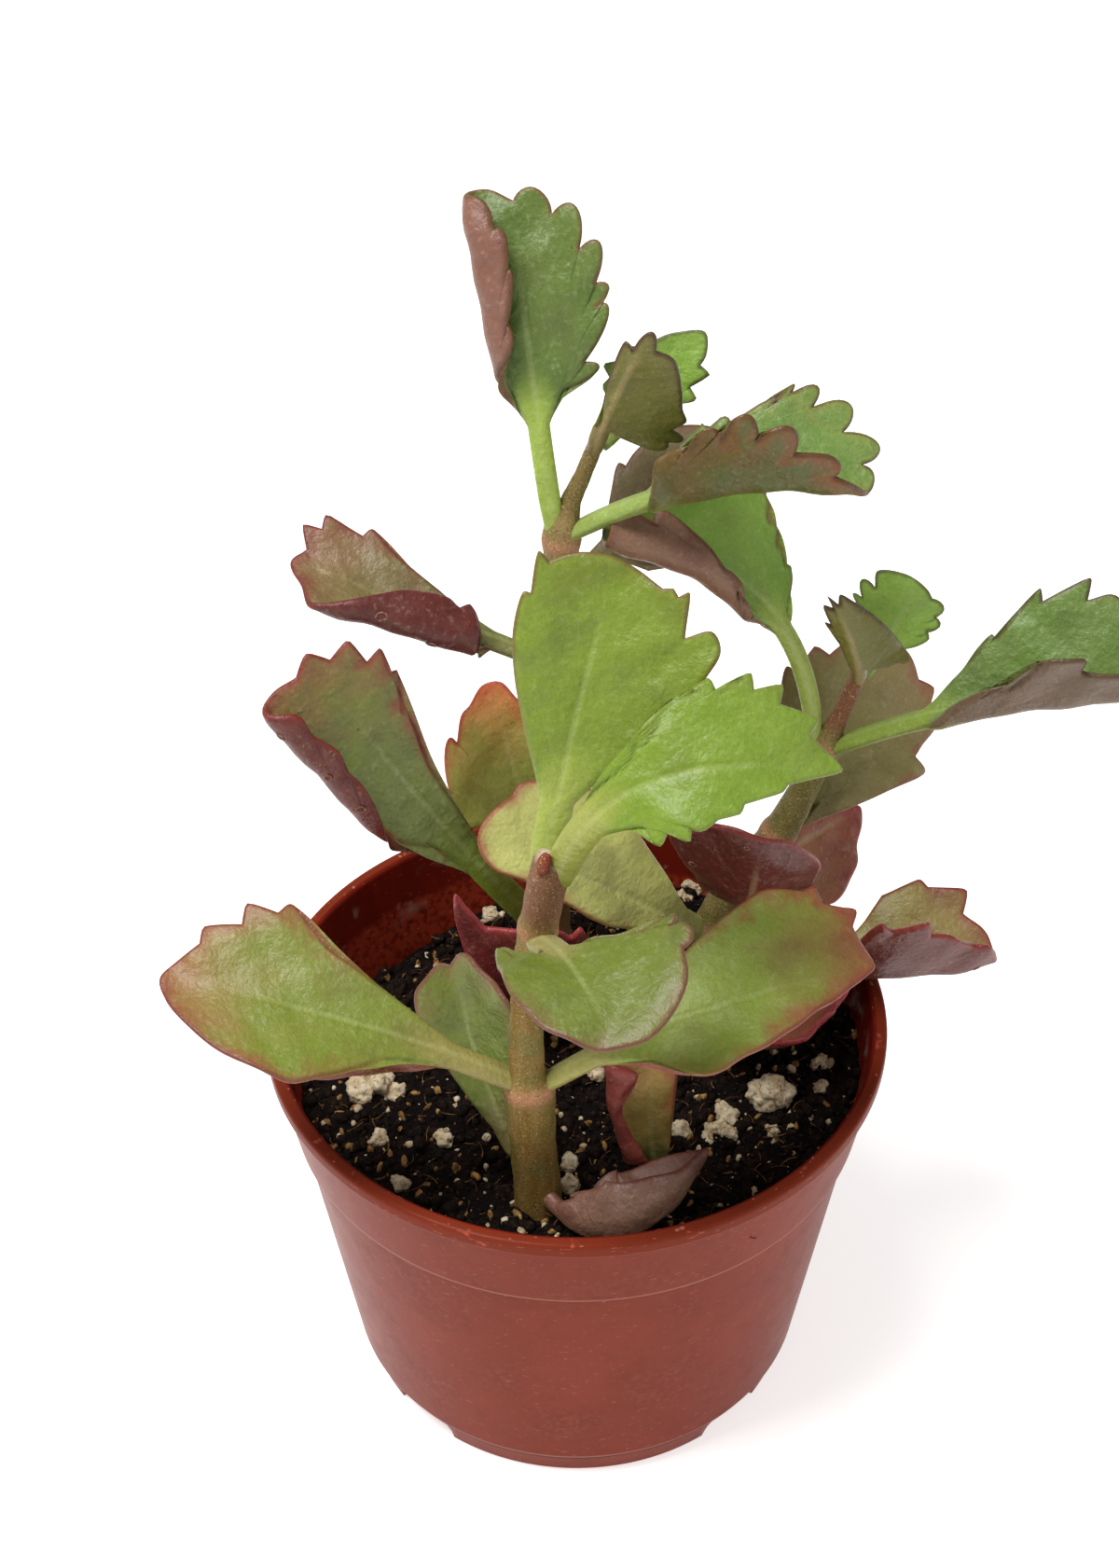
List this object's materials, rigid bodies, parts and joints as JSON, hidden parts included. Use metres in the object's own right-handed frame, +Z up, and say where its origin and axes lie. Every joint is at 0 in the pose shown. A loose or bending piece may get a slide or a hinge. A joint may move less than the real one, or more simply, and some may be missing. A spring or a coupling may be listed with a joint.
{
  "type": "potted kalanchoe longiflora",
  "caption": "Potted kalanchoe longiflora with upright stems and fleshy, scallop-edged leaves, green turning red-brown, in a small tapered nursery pot; stands on its base for display.",
  "frame": {"origin": "centre of the pot's flat pad, on the surface that the pot stands on", "axes": "+Z up along the pot's axis, +X to the right and +Y away from the viewer as seen from the front"},
  "size_m": [0.1579, 0.1137, 0.2132],
  "materials": {
    "pot": "satin",
    "soil": "rough",
    "stem": "matte",
    "leaf": "satin"
  },
  "bodies": {
    "root": {"pot": "pot", "stem_front": "stem", "stem_tall": "stem", "stem_right": "stem", "leaf_front_left": "leaf", "leaf_front_right": "leaf", "leaf_front_near": "leaf", "leaf_front_upper_back": "leaf", "leaf_front_upper_right": "leaf", "leaf_front_low_left": "leaf", "leaf_front_low_right": "leaf", "leaf_front_low_soil": "leaf", "leaf_tall_top_left": "leaf", "leaf_tall_young_front": "leaf", "leaf_tall_young_rear": "leaf", "leaf_tall_top_right": "leaf", "leaf_tall_upper_rear": "leaf", "leaf_tall_upper_left": "leaf", "leaf_tall_low_left": "leaf", "leaf_tall_low_rear": "leaf", "leaf_tall_low_front": "leaf", "leaf_right_low_left": "leaf", "leaf_right_top_left": "leaf", "leaf_right_top_right": "leaf", "leaf_right_young_front": "leaf", "leaf_right_young_rear": "leaf", "leaf_right_rear": "leaf", "leaf_right_mid_rear": "leaf", "leaf_right_mid_front": "leaf", "leaf_right_low_right": "leaf", "leaf_right_low_near": "leaf", "soil": "soil"}
  },
  "joints": []
}
